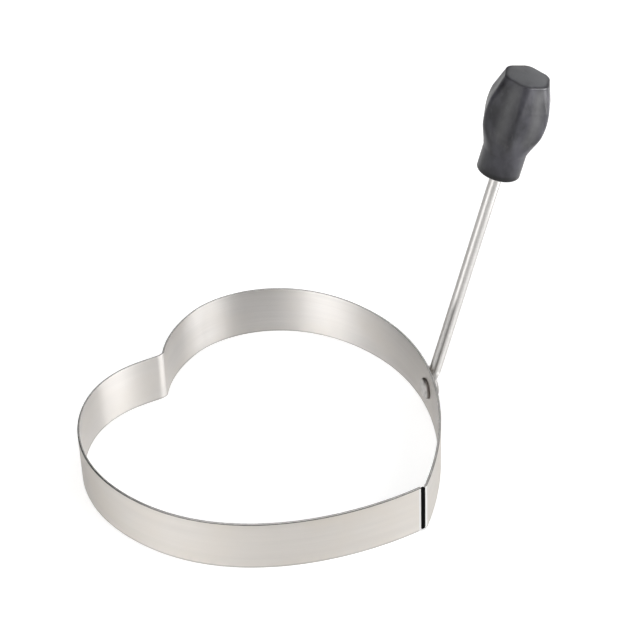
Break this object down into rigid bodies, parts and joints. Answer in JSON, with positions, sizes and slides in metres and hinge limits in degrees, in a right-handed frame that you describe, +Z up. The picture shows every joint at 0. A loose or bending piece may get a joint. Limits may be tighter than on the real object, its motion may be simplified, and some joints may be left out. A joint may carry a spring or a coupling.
{
  "type": "egg ring",
  "caption": "Heart-shaped egg ring: a bent steel strip that stands on edge in a pan, with a riveted rod handle that folds down sideways and carries a moulded grip.",
  "frame": {"origin": "middle of the object's box seen from above, on the plane that the ring stands on", "axes": "+Z up; +Y from the heart's point towards its cleft, along the heart's own axis; +X towards the side that carries the handle"},
  "size_m": [0.1138, 0.0942, 0.103],
  "materials": {
    "strip_steel": "satin, faintly brushed along the strip",
    "dark_bead": "near-black, matte",
    "rivet_steel": "plain formed head, half bright",
    "rod_steel": "drawn wire, half bright",
    "charcoal_plastic": "matte moulded, faintly mottled"
  },
  "bodies": {
    "ring": {"ring_band": "strip_steel", "tip_seam": "dark_bead", "pivot_rivet": "rivet_steel"},
    "handle": {"handle_rod": "rod_steel", "grip": "charcoal_plastic"}
  },
  "joints": [
    {"name": "handle_swing", "type": "hinge", "parent": "ring", "child": "handle", "pos_m": [0.0292, -0.0197, 0.0075], "axis": [0.8165, -0.5773, 0], "range_deg": [-88, 88]}
  ]
}
